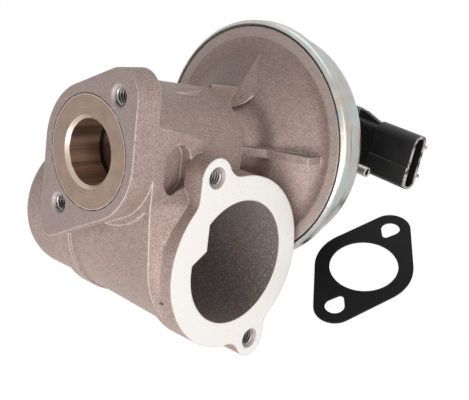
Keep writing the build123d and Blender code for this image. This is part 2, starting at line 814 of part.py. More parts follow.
# --- sensor screws: two pan heads through the lugs into the cover --------------------------------------
with BuildPart() as sensor_screws:
    with BuildSketch(sensor_plane.offset(-sensor_base_height)):
        with Locations(sensor_lugs):
            Circle(screw_head_radius)
    extrude(amount=-screw_head_height)
    fillet(sensor_screws.edges().group_by(Axis.Z)[0], screw_head_height / 3)
    with BuildSketch(sensor_plane.offset(-sensor_base_height)):
        with Locations(sensor_lugs):
            Circle(screw_radius)
    extrude(amount=sensor_base_height + sheet)
    with BuildSketch(sensor_plane.offset(-sensor_base_height - screw_head_height)):
        with Locations(sensor_lugs):
            RegularPolygon(screw_radius, 6)
    extrude(amount=screw_head_height / 2, mode=Mode.SUBTRACT)
keep(sensor_screws, "sensor_screws")

# --- terminals: square pins moulded through the housing wall -------------------------------------------
with BuildPart() as terminals:
    with BuildSketch(connector_plane.offset(terminal_free_length - connector_depth)):
        with Locations(terminal_places):
            Rectangle(terminal_size, terminal_size)
    extrude(
        amount=sensor_room_length / 2 - connector_reach + connector_depth - terminal_free_length
    )
keep(terminals, "terminals")

# --- track board: carries the resistive track that the wiper rubs on -----------------------------------
board_low_z = drum_back_z - sensor_height + 2 * connector_wall
board_high_z = drum_back_z - sensor_floor
board_middle = Vector(0, 0, (board_low_z + board_high_z) / 2)
board_plane = Plane(
    origin=sensor_x * (sensor_room_length / 2) + sensor_y * connector_side + board_middle,
    x_dir=sensor_y,
    z_dir=sensor_x,
)
with BuildPart() as track_board:
    with BuildSketch(board_plane):
        Rectangle(board_width, board_high_z - board_low_z)
    extrude(amount=-board_thickness)
keep(track_board, "track_board")

# --- sensor plunger: rod that follows the stem's end ---------------------------------------------------
plunger_end_z = plunger_start_z - plunger_length
with BuildPart() as sensor_plunger:
    with BuildSketch(Plane.XY.offset(plunger_end_z)):
        Circle(plunger_radius)
    extrude(amount=plunger_length)
    fillet(sensor_plunger.edges().group_by(Axis.Z)[-1], 1.2)
    with BuildSketch(Plane.XY.offset(plunger_end_z)):
        Circle(plunger_collar_radius)
    extrude(amount=plunger_collar_height)
keep(sensor_plunger, "sensor_plunger")

# --- wiper: springy strip under the collar that reaches the track --------------------------------------
with BuildPart() as wiper:
    wiper_reach = sensor_room_length / 2 - board_thickness - wiper_gap
    with BuildSketch(sensor_plane.offset(plunger_end_z - drum_back_z)):
        Circle(plunger_collar_radius)
        with Locations((wiper_reach / 2, 0)):
            Rectangle(wiper_reach, wiper_width)
    extrude(amount=-wiper_thickness)
    with BuildSketch(sensor_plane.offset(plunger_end_z - drum_back_z)):
        with Locations((wiper_reach - wiper_thickness / 2, 0)):
            Rectangle(wiper_thickness, wiper_width)
    extrude(amount=wiper_width)
keep(wiper, "wiper")

# --- plunger spring: keeps the plunger against the stem ------------------------------------------------
with BuildPart() as plunger_spring:
    plunger_wire_radius = plunger_spring_wire / 2
    seat_clear = plunger_wire_radius + spring_seat_gap
    plunger_spring_low_z = drum_back_z - sensor_height + seat_clear
    plunger_spring_height = plunger_end_z - wiper_thickness - seat_clear - plunger_spring_low_z
    with BuildLine():
        fine_coil = Helix(
            pitch=plunger_spring_height / plunger_spring_turns,
            height=plunger_spring_height,
            radius=plunger_spring_radius,
            center=(0, 0, plunger_spring_low_z),
        )
    with BuildSketch(Plane(origin=fine_coil @ 0, z_dir=fine_coil % 0)):
        Circle(plunger_wire_radius)
    sweep(path=fine_coil, is_frenet=True)
keep(plunger_spring, "plunger_spring")


# --- laying down: the plane through the three round edges that the valve stands on ---------------------
def lowest(edge, up):
    """Lowest point of a rounded disc: its centre, axis, radius and edge rounding."""
    centre, axis, radius, rounding = edge
    across = (up - axis * up.dot(axis)).normalized()
    return centre - across * radius - up * rounding


sensor_foot_corner = (
    sensor_foot_place[0] - sensor_foot_length / 2 + sensor_corner_radius,
    sensor_foot_place[1] - sensor_foot_width / 2 + sensor_corner_radius,
    sensor_lid_rounding - sensor_height - sensor_lid_thickness,
)
feet = [
    (
        sensor_plane.from_local_coords(sensor_foot_corner),
        Vector(0, 0, 1),
        sensor_corner_radius - sensor_base_step - sensor_lid_rounding,
        sensor_lid_rounding,
    ),
    (
        outlet_plane.from_local_coords((*outlet_bolts[1], outlet_ear_length)),
        Vector(1, 0, 0),
        outlet_ear_radius,
        0,
    ),
    (
        outlet_plane.from_local_coords((0, 0, outlet_face_x - duct_end_x - duct_end_radius)),
        Vector(1, 0, 0),
        duct_radius - duct_end_radius,
        duct_end_radius,
    ),
]
up = Vector(0, 1, 0)
for _ in range(60):
    first, second, third = (lowest(edge, up) for edge in feet)
    normal = (second - first).cross(third - first).normalized()
    up = (up + normal * (1 if normal.dot(up) > 0 else -1)).normalized()
bench = Plane(origin=first, x_dir=Vector(1, 0, 0) - up * up.X, z_dir=up)

# --- gasket: flat oval ring for the inlet flange, lying on the bench -----------------------------------
gasket_x = bench.x_dir * cos(radians(gasket_turn)) + bench.y_dir * sin(radians(gasket_turn))
gasket_plane = Plane(
    origin=bench.from_local_coords((gasket_place[0], gasket_place[1], 0)), x_dir=gasket_x, z_dir=up
)
with BuildPart() as gasket:
    with BuildSketch(gasket_plane):
        Circle(gasket_radius)
        with Locations((bolt_reach, 0), (-bolt_reach, 0)):
            Circle(gasket_lobe_radius)
        make_hull()
        Circle(gasket_hole_radius, mode=Mode.SUBTRACT)
    extrude(amount=gasket_thickness)
    for side in (1, -1):
        with BuildSketch(gasket_plane):
            with Locations((side * bolt_reach, 0)):
                Circle(gasket_slot_radius)
            with Locations((side * (bolt_reach - gasket_slot_tip_offset), 0)):
                Circle(gasket_slot_tip_radius)
            make_hull()
        extrude(amount=gasket_thickness, mode=Mode.SUBTRACT)
keep(gasket, "gasket")

# --- bench pose: centred over the origin, standing on Z = 0 --------------------------------------------
to_bench = bench.location.inverse()
laid = {name: to_bench * piece for name, piece in pieces.items()}
whole = Compound(list(laid.values())).bounding_box()
centring = Location((-whole.center().X, -whole.center().Y, -whole.min.Z))
for name, piece in laid.items():
    placed = centring * piece
    placed.label = name
    export_step(placed, f"parts/{name}.step")
print("size", whole.size)
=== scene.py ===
"""Vacuum-operated exhaust gas recirculation valve with its loose inlet gasket, standing on a pale bench.

The pieces follow in the order in which the valve is put together: casting, seat insert, stem and
diaphragm pack, springs, can, position sensor, gasket. The bench, lamps and camera come last.
"""

import json
from math import cos, pi, radians, sin

import bmesh
import bpy
from mathutils import Matrix, Vector


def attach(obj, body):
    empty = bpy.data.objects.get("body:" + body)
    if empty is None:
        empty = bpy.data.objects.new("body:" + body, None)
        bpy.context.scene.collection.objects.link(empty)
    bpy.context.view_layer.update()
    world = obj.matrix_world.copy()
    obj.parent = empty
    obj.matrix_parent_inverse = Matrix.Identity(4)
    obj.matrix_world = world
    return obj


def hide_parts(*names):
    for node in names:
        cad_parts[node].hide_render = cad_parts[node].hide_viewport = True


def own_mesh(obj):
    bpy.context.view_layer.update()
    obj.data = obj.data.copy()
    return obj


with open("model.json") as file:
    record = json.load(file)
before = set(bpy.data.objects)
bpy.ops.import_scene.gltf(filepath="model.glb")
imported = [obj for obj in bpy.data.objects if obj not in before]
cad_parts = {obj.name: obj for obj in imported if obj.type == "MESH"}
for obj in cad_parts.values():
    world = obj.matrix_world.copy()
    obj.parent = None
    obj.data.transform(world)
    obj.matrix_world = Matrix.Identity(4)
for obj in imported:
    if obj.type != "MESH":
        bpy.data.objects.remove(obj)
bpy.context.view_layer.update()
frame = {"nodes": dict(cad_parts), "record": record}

# --- Valve body -------------------------------------------------------------------------------------
# One sand-fine aluminium casting: a dished rim for the can, a neck, the inlet flange and the duct with
# its outlet flange. Shot-blasted all over; only the two flange faces and the seat bore are machined.
mounts = {mount["name"]: mount for mount in frame["record"]["mounts"]}
bolt_mount_depth = 0.0040
rim_to_inlet = 0.0893
duct_offset = 0.0016
stem_axis = Vector(mounts["inlet_bolts"]["axis"])
outlet_axis = Vector(mounts["outlet_bolts"]["axis"])
side_axis = stem_axis.cross(outlet_axis)
inlet_centre = Vector(mounts["inlet_bolts"]["pos_m"]) + stem_axis * bolt_mount_depth
outlet_centre = Vector(mounts["outlet_bolts"]["pos_m"]) + outlet_axis * bolt_mount_depth
duct_centre = outlet_centre - stem_axis * duct_offset
rim_centre = inlet_centre - stem_axis * rim_to_inlet

# where the chamber's skin and its painted shade, the lip's painted highlight, the can's seam and the milled
# faces begin and fade out
chamber_radius = 0.0258
chamber_depth = 0.0976
chamber_margin = 0.0002
chamber_fade = 0.0006
chamber_end_fade = 0.0010
mouth_break = 0.0004
insert_radius = 0.0217
lip_radius = 0.0452
lip_height = 0.0006
lip_fade = 0.0012
lip_height_fade = 0.0005
seam_radius = 0.0500
seam_fade = 0.0004
face_skin = 0.00004
face_fade = 0.00008

inlet_bolt_out = 0.0153
inlet_bolt_side = 0.0237
inlet_thread_depth = 0.0090
outlet_bolt_reach = 0.0396
outlet_bolt_angle = radians(66.6)
outlet_thread_depth = 0.0110
core_radius = 0.0034
core_margin = 0.0001
core_top = 0.0016
core_end_fade = 0.0004
countersink_radius = 0.0044
countersink_depth = 0.0011
countersink_top = 0.0002
countersink_fade = 0.0002

cast_light = (0.445, 0.335, 0.295, 1)
cast_dark = (0.268, 0.195, 0.171, 1)
cast_pore = (0.05, 0.04, 0.038, 1)
# painted highlight colour for the casting's edges and the dish's lip
cast_highlight = (0.74, 0.64, 0.60, 1)
# the chamber's skin, darkened as painted shade, and its pale specks
chamber_skin_shaded = (0.27, 0.226, 0.212, 1)
cast_inside_speck = (0.56, 0.48, 0.455, 1)
milled_white = (0.84, 0.81, 0.78, 1)
milled_grey = (0.68, 0.62, 0.58, 1)
turned_light = (0.355, 0.275, 0.252, 1)
turned_dark = (0.265, 0.197, 0.18, 1)
hole_bright = (0.42, 0.375, 0.355, 1)
# painted shade deep in the tapped holes
hole_shade = (0.020, 0.016, 0.015, 1)
joint_dirt = (0.02, 0.016, 0.014, 1)

# how strongly each layer of the casting shows
grain_share = 0.75
stain_share = 0.25
pit_radius = 0.06
pit_fade = 0.045
pit_on_milled = 0.2
# strength of the painted highlight on edges and on the lip
cast_highlight_share = 0.85
lip_highlight_share = 0.30
joint_width = 0.00030
joint_fade = 0.00040
grain_relief = 0.6
mottle_relief = 0.5
pit_relief = 1.2
relief_on_milled = 0.1

# mouth, direction and depth of each tapped hole
thread_places = []
for side in (1, -1):
    inlet_way = outlet_axis * inlet_bolt_out + side_axis * inlet_bolt_side
    thread_places.append((inlet_centre + inlet_way * side, stem_axis, inlet_thread_depth))
    outlet_way = stem_axis * cos(outlet_bolt_angle) + side_axis * sin(outlet_bolt_angle)
    outlet_hole = outlet_centre + outlet_way * (side * outlet_bolt_reach)
    thread_places.append((outlet_hole, outlet_axis, outlet_thread_depth))


class Finish:
    """A material's node tree, with one short call for each kind of node that the finishes use."""

    # cosine between a rounded edge's normal and the face's own, from open face to edge
    edge_turn = (0.995, 0.86)
    # cosine between a face's normal and the direction that it is asked to look in
    facing_turn = (0.97, 0.99)
    edge_samples = 6
    noise_roughness = 0.55

    def __init__(self, name, metallic=0.0, **shader_values):
        self.material = bpy.data.materials.new(name)
        self.material.use_nodes = True
        self.nodes = self.material.node_tree.nodes
        self.links = self.material.node_tree.links
        self.shader = self.nodes["Principled BSDF"]
        self.shader.inputs["Metallic"].default_value = metallic
        for socket, value in shader_values.items():
            self.shader.inputs[socket.replace("_", " ")].default_value = value
        self.place = self.nodes.new("ShaderNodeTexCoord").outputs["Object"]
        self.smooth = None
        self.tone = None

    def feed(self, socket, value):
        """Link an output to a socket, or write a plain value there."""
        if isinstance(value, bpy.types.NodeSocket):
            self.links.new(value, socket)
        else:
            socket.default_value = value

    def noise(self, size, detail=3.0, stretch=None):
        """Noise whose grains are about size metres wide."""
        node = self.nodes.new("ShaderNodeTexNoise")
        node.inputs["Scale"].default_value = 1 / size
        node.inputs["Detail"].default_value = detail
        node.inputs["Roughness"].default_value = self.noise_roughness
        self.feed(node.inputs["Vector"], stretch or self.place)
        return node.outputs["Fac"]

    def spots(self, spacing):
        """Distance to scattered points about spacing metres apart, in units of the spacing."""
        node = self.nodes.new("ShaderNodeTexVoronoi")
        node.inputs["Scale"].default_value = 1 / spacing
        self.feed(node.inputs["Vector"], self.place)
        return node.outputs["Distance"]

    def maths(self, operation, first, second=0.0, third=0.0):
        """One step of arithmetic on fields or numbers."""
        node = self.nodes.new("ShaderNodeMath")
        node.operation = operation
        for socket, value in zip(node.inputs, (first, second, third)):
            self.feed(socket, value)
        return node.outputs[0]

    def times(self, first, second):
        """Product of two fields, or of a field and a number."""
        return self.maths("MULTIPLY", first, second)

    def weigh(self, first, first_weight, second, second_weight):
        """Weighted sum of two fields."""
        return self.maths("MULTIPLY_ADD", first, first_weight, self.times(second, second_weight))

    def level(self, field, at_zero, at_one):
        """Straight run from at_zero, where field is 0, to at_one, where it is 1."""
        return self.maths("MULTIPLY_ADD", field, at_one - at_zero, at_zero)

    def between(self, value, low, high):
        """0 at low, 1 at high, smooth between and level beyond; low may be the larger."""
        node = self.nodes.new("ShaderNodeMapRange")
        node.interpolation_type = "SMOOTHSTEP"
        self.feed(node.inputs["Value"], value)
        node.inputs["From Min"].default_value = low
        node.inputs["From Max"].default_value = high
        return node.outputs["Result"]

    def under(self, value, limit, fade):
        """1 below limit, falling to 0 over the next fade."""
        return self.between(value, limit + fade, limit)

    def over(self, value, limit, fade):
        """1 above limit, falling to 0 over the last fade below it."""
        return self.between(value, limit - fade, limit)

    def mix(self, share, first, second):
        """Colour from first to second."""
        node = self.nodes.new("ShaderNodeMix")
        node.data_type = "RGBA"
        self.feed(node.inputs[0], share)
        self.feed(node.inputs[6], first)
        self.feed(node.inputs[7], second)
        return node.outputs[2]

    def vector(self, operation, output, *values):
        """One step of vector arithmetic."""
        node = self.nodes.new("ShaderNodeVectorMath")
        node.operation = operation
        for socket, value in zip(node.inputs, values):
            self.feed(socket, value)
        return node.outputs[output]

    def along(self, point, axis):
        """Height of a place over the plane through point square to axis, in metres."""
        height = self.vector("DOT_PRODUCT", "Value", self.place, axis)
        return self.maths("SUBTRACT", height, point.dot(axis))

    def across(self, point, axis):
        """Vector that is the same all along a line parallel to axis; its length is the distance from it."""
        offset = self.vector("SUBTRACT", "Vector", self.place, point)
        return self.vector("CROSS_PRODUCT", "Vector", offset, axis)

    def reach(self, point, axis):
        """Distance of a place from the line through point along axis, in metres."""
        return self.vector("LENGTH", "Value", self.across(point, axis))

    def round_edges(self, radius):
        """Shade edges as if rounded to radius metres; returns 1 on an edge and 0 on an open face."""
        bevel = self.nodes.new("ShaderNodeBevel")
        bevel.samples = self.edge_samples
        bevel.inputs["Radius"].default_value = radius
        self.smooth = bevel.outputs["Normal"]
        flat = self.nodes.new("ShaderNodeNewGeometry").outputs["Normal"]
        return self.between(self.vector("DOT_PRODUCT", "Value", self.smooth, flat), *self.edge_turn)

    def facing(self, axis):
        """1 on faces that look along axis."""
        flat = self.nodes.new("ShaderNodeNewGeometry").outputs["True Normal"]
        return self.between(self.vector("DOT_PRODUCT", "Value", flat, axis), *self.facing_turn)

    def bump(self, height, depth, strength):
        """Relief of depth metres."""
        node = self.nodes.new("ShaderNodeBump")
        node.inputs["Strength"].default_value = strength
        node.inputs["Distance"].default_value = depth
        self.feed(node.inputs["Height"], height)
        if self.smooth:
            self.feed(node.inputs["Normal"], self.smooth)
        self.feed(self.shader.inputs["Normal"], node.outputs["Normal"])

    def colour(self, value):
        """Base colour, kept as the tone that a further layer may be mixed over."""
        self.tone = value
        self.feed(self.shader.inputs["Base Color"], value)

    def roughness(self, field, at_zero, at_one):
        """Roughness that runs from at_zero to at_one as field goes from 0 to 1."""
        self.feed(self.shader.inputs["Roughness"], self.level(field, at_zero, at_one))


def dress(node_name, finish):
    """Give a CAD node its finish."""
    for slot in frame["nodes"][node_name].material_slots:
        slot.material = finish.material


def tapped_hole_colours(finish, surface):
    """Bright countersinks, and painted shade deep in the tapped holes."""
    for mouth, out, depth in thread_places:
        reach = finish.reach(mouth, out)
        height = finish.along(mouth, out)
        sunk = finish.times(
            finish.between(height, -countersink_top / 2, -countersink_top),
            finish.over(height, -countersink_depth, countersink_fade),
        )
        near = finish.under(reach, countersink_radius, countersink_fade)
        surface = finish.mix(finish.times(sunk, near), surface, hole_bright)
        # painted shade on the core wall deep in each hole
        deep = finish.times(
            finish.between(height, -countersink_depth, -core_top),
            finish.over(height, -depth, core_end_fade),
        )
        near = finish.under(reach, core_radius + core_margin, core_margin)
        surface = finish.mix(finish.times(deep, near), surface, hole_shade)
    return surface


def cast_finish():
    """Blasted casting with grain, stains and pores; milled flange faces; a painted highlight on edges and
    on the dish's lip; painted shade darkens the chamber's inside and the depths of the tapped holes.
    """
    finish = Finish("cast_aluminium", metallic=0.25)
    edge = finish.round_edges(radius=0.0009)
    grain = finish.noise(size=0.00060, detail=2)
    mottle = finish.noise(size=0.0030, detail=4)
    stain = finish.between(finish.noise(size=0.022, detail=4), low=0.40, high=0.68)
    shade = finish.weigh(grain, grain_share, mottle, 1 - grain_share)
    blasted = finish.mix(finish.between(shade, low=0.38, high=0.62), cast_dark, cast_light)
    blasted = finish.mix(finish.times(stain, stain_share), blasted, cast_dark)

    inlet_reach = finish.reach(inlet_centre, stem_axis)
    depth_in = finish.along(outlet_centre, outlet_axis)

    # as-cast skin of the chamber, with pale specks, darkened as painted shade
    duct_reach = finish.reach(duct_centre, outlet_axis)
    inside = finish.under(duct_reach, chamber_radius + chamber_margin, chamber_fade)
    inside = finish.times(inside, finish.under(depth_in, -mouth_break, mouth_break))
    end = -chamber_depth - chamber_end_fade
    inside = finish.times(inside, finish.over(depth_in, end, chamber_end_fade))
    skin = finish.mix(finish.between(grain, low=0.50, high=0.66), chamber_skin_shaded, cast_inside_speck)
    surface = finish.mix(inside, blasted, skin)

    # milled outlet face, pale, and turned inlet face, greyer
    on_outlet = finish.under(finish.maths("ABSOLUTE", depth_in), face_skin, face_fade)
    on_outlet = finish.times(on_outlet, finish.facing(outlet_axis))
    on_inlet = finish.over(finish.along(inlet_centre, stem_axis), -face_skin, face_fade)
    milled = finish.maths("MAXIMUM", on_outlet, on_inlet)
    cutter = finish.between(finish.noise(size=0.0012, detail=3), low=0.60, high=0.80)
    surface = finish.mix(on_outlet, surface, finish.mix(cutter, milled_white, milled_grey))
    mauve = finish.mix(finish.between(shade, low=0.34, high=0.66), turned_dark, turned_light)
    surface = finish.mix(on_inlet, surface, mauve)

    # painted highlight along the edges, in patches, and a fainter one on the dish's raised lip
    painted_highlight = finish.times(edge, finish.level(inside, cast_highlight_share, 0))
    painted_highlight = finish.times(painted_highlight, finish.between(mottle, low=0.22, high=0.50))
    on_lip = finish.over(inlet_reach, lip_radius + lip_fade, lip_fade)
    low_down = finish.under(finish.along(rim_centre, stem_axis), lip_height, lip_height_fade)
    on_lip = finish.times(on_lip, low_down)
    painted_highlight = finish.maths("MAXIMUM", painted_highlight, finish.times(on_lip, lip_highlight_share))
    surface = finish.mix(painted_highlight, surface, cast_highlight)

    # blow holes, in loose patches
    pit_patch = finish.between(finish.noise(size=0.006, detail=2), low=0.50, high=0.60)
    pit = finish.times(finish.under(finish.spots(spacing=0.0036), pit_radius, pit_fade), pit_patch)
    pit = finish.times(pit, finish.level(on_outlet, 1, pit_on_milled))
    surface = finish.mix(pit, surface, cast_pore)

    # dirt in the joint round the seat insert, and where the can is folded over the rim
    joint = finish.maths("ABSOLUTE", finish.maths("SUBTRACT", inlet_reach, insert_radius))
    joint = finish.under(joint, joint_width, joint_fade)
    joint = finish.times(joint, finish.between(mottle, low=0.32, high=0.50))
    surface = finish.mix(finish.times(joint, on_inlet), surface, joint_dirt)
    seam = finish.over(inlet_reach, seam_radius + seam_fade, seam_fade)
    surface = finish.mix(finish.times(seam, low_down), surface, joint_dirt)

    finish.colour(tapped_hole_colours(finish, surface))
    finish.roughness(mottle, 0.44, 0.60)
    relief = finish.weigh(grain, grain_relief, mottle, mottle_relief)
    relief = finish.maths("SUBTRACT", relief, finish.times(pit, pit_relief))
    relief = finish.times(relief, finish.level(milled, 1, relief_on_milled))
    finish.bump(relief, depth=0.00022, strength=0.8)
    return finish


dress("valve_body", cast_finish())


# --- Threads ----------------------------------------------------------------------------------------
# Tapped M8 holes, two in each flange. Each thread is a thin helical rib standing on the hole's core
# wall, bright where the tap cut it.
thread_height = 0.00060
thread_pitch = 0.00125
thread_half_width = 0.00034
thread_sunk = 0.00005
thread_root = core_radius + thread_sunk
thread_top = 0.0008
thread_end_gap = 0.0006
steps_per_turn = 40
run_out_steps = steps_per_turn / 2
thread_dark = (0.16, 0.14, 0.13, 1)
thread_light = (0.50, 0.46, 0.43, 1)


def thread_mesh(name, mouth, out, depth):
    """Helical rib with a V section, from just under the mouth nearly down to depth."""
    mesh = bpy.data.meshes.new(name)
    shape = bmesh.new()
    across = out.orthogonal().normalized()
    beside = out.cross(across)
    last = None
    steps = int((depth - thread_top - thread_end_gap) / thread_pitch * steps_per_turn)
    for step in range(steps + 1):
        angle = 2 * pi * step / steps_per_turn
        radial = across * cos(angle) + beside * sin(angle)
        down = thread_top + thread_pitch * step / steps_per_turn
        fade = min(1, step / run_out_steps, (steps - step) / run_out_steps)
        ring = [
            shape.verts.new(mouth - out * (down - thread_half_width) + radial * thread_root),
            shape.verts.new(mouth - out * down + radial * (core_radius - thread_height * fade)),
            shape.verts.new(mouth - out * (down + thread_half_width) + radial * thread_root),
        ]
        if last:
            for low, high in ((0, 1), (1, 2), (2, 0)):
                shape.faces.new((last[low], last[high], ring[high], ring[low]))
        else:
            shape.faces.new(ring)
        last = ring
    shape.faces.new(last)
    bmesh.ops.recalc_face_normals(shape, faces=shape.faces)
    shape.to_mesh(mesh)
    shape.free()
    return mesh


def grained_finish(name, grain, detail, colours, roughness, relief, metallic=0.0):
    """A material in which one grain gives the colour, the gloss and the relief (depth and strength)."""
    finish = Finish(name, metallic)
    field = finish.noise(grain, detail)
    finish.colour(finish.mix(field, *colours))
    finish.roughness(field, *roughness)
    finish.bump(field, *relief)
    return finish


tapped = grained_finish(
    "tapped_aluminium",
    grain=0.0005,
    detail=3,
    colours=(thread_dark, thread_light),
    roughness=(0.28, 0.48),
    relief=(0.00005, 0.5),
    metallic=0.9,
)
for number, (mouth, out, depth) in enumerate(thread_places):
    mesh = thread_mesh(f"thread_{number}", mouth, out, depth)
    mesh.materials.append(tapped.material)
    thread = bpy.data.objects.new(f"thread_{number}", mesh)
    bpy.context.scene.collection.objects.link(thread)
    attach(thread, "housing")


# --- Seat insert ------------------------------------------------------------------------------------
# Turned ring of hardened steel, pressed flush into the inlet flange; the poppet, of the same steel,
# closes against its lower edge. Turning marks run round it, and hot gas has tinted the bore brown.
seat_bore_radius = 0.0127
seat_bore_margin = 0.0001
chamfer_width = 0.0013
outer_edge_width = 0.0003
throat_depth = 0.0153
throat_fade = 0.0008
turned_rings_per_metre = 3500.0
ring_share = 0.6
# share of the painted highlight on the seat's chamfer and outer edge
seat_highlight_share = 0.85
seat_light = (0.365, 0.268, 0.208, 1)
seat_dark = (0.25, 0.183, 0.140, 1)
# painted highlight on the chamfer and the outer edge
seat_highlight = (0.56, 0.475, 0.41, 1)
# painted shadow deep in the bore, past the seat
seat_throat_shadow = (0.060, 0.044, 0.036, 1)
# light streaks of painted reflection in the heat-brown bore
bore_reflection = (0.90, 0.65, 0.52, 1)
heat_dark = (0.38, 0.262, 0.205, 1)


def turned_finish(name, dark, light, roughness):
    """Metal turned about the stem's axis: fine rings with a slight blotch over them."""
    finish = Finish(name, metallic=1.0)
    rings = finish.nodes.new("ShaderNodeTexNoise")
    rings.noise_dimensions = "1D"
    rings.inputs["Scale"].default_value = 1.0
    rings.inputs["Detail"].default_value = 2
    radius = finish.reach(inlet_centre, stem_axis)
    height = finish.along(inlet_centre, stem_axis)
    travel = finish.times(finish.maths("ADD", radius, height), turned_rings_per_metre)
    finish.feed(rings.inputs["W"], travel)
    blotch = finish.noise(size=0.006, detail=3)
    share = finish.weigh(rings.outputs["Fac"], ring_share, blotch, 1 - ring_share)
    finish.colour(finish.mix(finish.between(share, low=0.3, high=0.7), dark, light))
    finish.roughness(blotch, *roughness)
    finish.bump(rings.outputs["Fac"], depth=0.00002, strength=0.4)
    return finish


def seat_finish():
    """Turned ring: heat-brown bore with painted reflection streaks and painted shadow deep in the bore past
    the seat, and a painted highlight on the chamfer and on the outer edge.
    """
    finish = turned_finish("seat_steel", seat_dark, seat_light, roughness=(0.33, 0.48))
    radius = finish.reach(inlet_centre, stem_axis)
    # painted reflections: light streaks along the bore
    reflection_streak = finish.noise(size=0.0035, detail=3, stretch=finish.across(inlet_centre, stem_axis))
    bore = finish.mix(finish.between(reflection_streak, low=0.35, high=0.65), heat_dark, bore_reflection)
    # painted shadow deep in the bore, past the seat
    depth_in = finish.along(inlet_centre, stem_axis)
    throat_shadow = finish.under(depth_in, -throat_depth - throat_fade, throat_fade)
    bore = finish.mix(throat_shadow, bore, seat_throat_shadow)
    in_bore = finish.under(radius, seat_bore_radius + seat_bore_margin, seat_bore_margin)
    surface = finish.mix(in_bore, finish.tone, bore)
    # painted highlight on the chamfer and the outer edge
    on_chamfer = finish.under(radius, seat_bore_radius + chamfer_width, seat_bore_margin)
    on_chamfer = finish.maths("SUBTRACT", on_chamfer, in_bore)
    at_edge = finish.over(radius, insert_radius - outer_edge_width, seat_bore_margin)
    bright = finish.times(finish.maths("MAXIMUM", on_chamfer, at_edge), seat_highlight_share)
    finish.colour(finish.mix(bright, surface, seat_highlight))
    return finish


seat_steel = seat_finish()
dress("seat_ring", seat_steel)
dress("poppet", seat_steel)


# --- Stem, guide and seal ---------------------------------------------------------------------------
# A ground steel rod slides in a plain bronze bush. Under the bush a moulded rubber ring wipes it, held
# by a cap pressed from zinc-plated sheet.
steel_light = (0.72, 0.72, 0.71, 1)
steel_dark = (0.52, 0.52, 0.51, 1)
bronze_light = (0.66, 0.48, 0.28, 1)
bronze_dark = (0.48, 0.33, 0.18, 1)
rubber_black = (0.018, 0.018, 0.019, 1)
rubber_bloom = (0.055, 0.053, 0.052, 1)
zinc_light = (0.58, 0.58, 0.56, 1)
zinc_dark = (0.35, 0.35, 0.325, 1)
zinc_blue = (0.42, 0.49, 0.51, 1)
zinc_straw = (0.46, 0.355, 0.23, 1)
stain_on_zinc = 0.45
straw_on_edges = 0.25


def rubber_finish():
    """Black moulded rubber with a dusty bloom."""
    finish = Finish("seal_rubber")
    bloom = finish.noise(size=0.004, detail=4)
    finish.colour(finish.mix(bloom, rubber_black, rubber_bloom))
    finish.roughness(bloom, 0.55, 0.75)
    finish.bump(finish.noise(size=0.0008, detail=2), depth=0.0001, strength=0.4)
    return finish


def zinc_finish():
    """Zinc plating: crystalline bloom, a bluish sheen, and straw stains in patches and on edges."""
    finish = Finish("zinc_plate", metallic=1.0)
    edge = finish.round_edges(radius=0.0005)
    bloom = finish.noise(size=0.006, detail=4)
    sheen = finish.between(finish.noise(size=0.016, detail=2), low=0.50, high=0.70)
    surface = finish.mix(sheen, finish.mix(bloom, zinc_dark, zinc_light), zinc_blue)
    stain = finish.between(finish.noise(size=0.010, detail=4), low=0.54, high=0.66)
    straw = finish.weigh(edge, straw_on_edges, stain, stain_on_zinc)
    finish.colour(finish.mix(straw, surface, zinc_straw))
    finish.roughness(bloom, 0.24, 0.44)
    finish.bump(finish.noise(size=0.0006, detail=2), depth=0.00004, strength=0.5)
    return finish


bright_steel = turned_finish("bright_steel", steel_dark, steel_light, roughness=(0.25, 0.40))
rubber = rubber_finish()
zinc = zinc_finish()
dress("valve_stem", bright_steel)
dress("stem_guide", turned_finish("bush_bronze", bronze_dark, bronze_light, roughness=(0.32, 0.47)))
dress("stem_seal", rubber)
dress("seal_cup", zinc)


# --- Diaphragm pack ---------------------------------------------------------------------------------
# A rubber diaphragm clamped on the stem between two zinc-plated steel plates, one of them cupped to
# hold the return spring, with a nut over them.
dress("diaphragm", rubber)
dress("lower_plate", zinc)
dress("spring_cup", zinc)
dress("stem_nut", bright_steel)


# --- Springs ----------------------------------------------------------------------------------------
# Oil-tempered wire, coiled cold: the wide return spring under the can and the fine one behind the
# sensor's plunger.
wire_dark = (0.20, 0.20, 0.21, 1)
wire_light = (0.42, 0.42, 0.43, 1)


def compressing(node_name):
    """Stand a copy of a coil, with a mesh of its own, in for the rigid one."""
    coil = frame["nodes"][node_name]
    spring = bpy.data.objects.new(f"{node_name}_coil", coil.data.copy())
    bpy.context.scene.collection.objects.link(spring)
    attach(spring, "housing")
    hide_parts(node_name)
    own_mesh(spring)


wire = grained_finish(
    "spring_wire",
    grain=0.0012,
    detail=3,
    colours=(wire_dark, wire_light),
    roughness=(0.30, 0.50),
    relief=(0.00005, 0.4),
    metallic=1.0,
)
for node_name, joint in (("return_spring", "valve_lift"), ("plunger_spring", "plunger_slide")):
    dress(node_name, wire)
    compressing(node_name)


# --- Can and nipple ---------------------------------------------------------------------------------
# The can is drawn from steel sheet, zinc-plated and clear-passivated, and folded over the casting's
# rim. The vacuum nipple is a bent steel tube brazed into it and plated with it.
dress("cover", zinc)
dress("nipple", zinc)


# --- Position sensor --------------------------------------------------------------------------------
# Black glass-filled housing with a glued lid, screwed to the can; its flat shroud takes the harness
# plug. A sprung acetal plunger carries the wiper over the resistor board.
moulding_dark = (0.006, 0.006, 0.006, 1)
moulding_light = (0.017, 0.016, 0.016, 1)
# painted highlight on the moulding's edges
moulding_highlight = (0.30, 0.28, 0.27, 1)
moulding_highlight_share = 0.6
